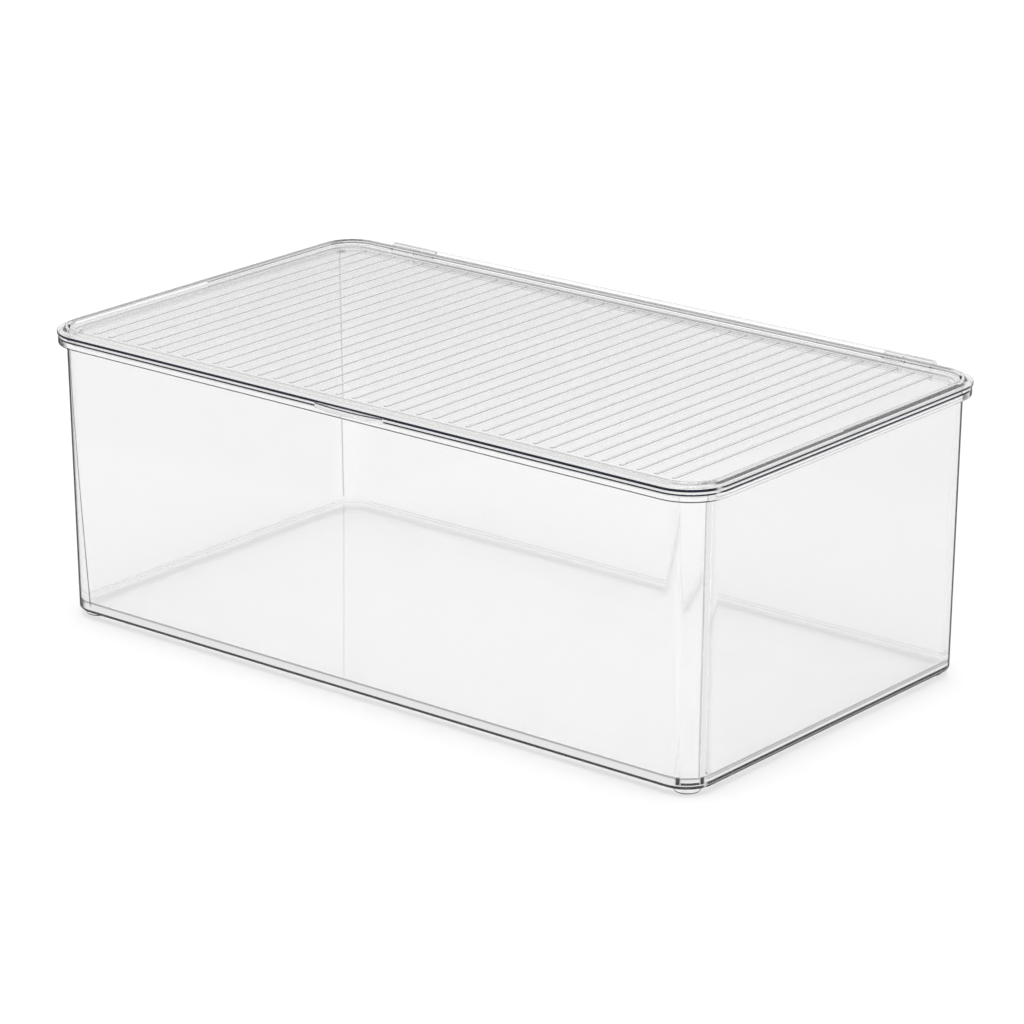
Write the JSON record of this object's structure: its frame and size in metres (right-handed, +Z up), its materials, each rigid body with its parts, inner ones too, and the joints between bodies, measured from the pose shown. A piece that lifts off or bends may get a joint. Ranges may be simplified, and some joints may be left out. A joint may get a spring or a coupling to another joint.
{
  "type": "clear storage box with hinged lid",
  "caption": "Clear rectangular storage box with leaning walls, a rim, small round feet and a ribbed lid hinged along the back.",
  "frame": {"origin": "on the surface the feet stand on, under the middle of the closed box", "axes": "+X along the long side to the right, +Y from the front to the hinge, +Z up"},
  "size_m": [0.34, 0.1964, 0.1258],
  "materials": {
    "clear_acrylic": "gloss",
    "clear_pad": "satin"
  },
  "bodies": {
    "bin": {"bin": "clear_acrylic", "hinge_pin_left": "clear_acrylic", "hinge_pin_right": "clear_acrylic", "foot_front_left": "clear_pad", "foot_front_right": "clear_pad", "foot_back_left": "clear_pad", "foot_back_right": "clear_pad"},
    "lid": {"lid": "clear_acrylic"}
  },
  "joints": [
    {"name": "lid_hinge", "type": "hinge", "parent": "bin", "child": "lid", "pos_m": [0, 0.0957, 0.12335], "axis": [-1, 0, 0], "range_deg": [0, 105]}
  ]
}
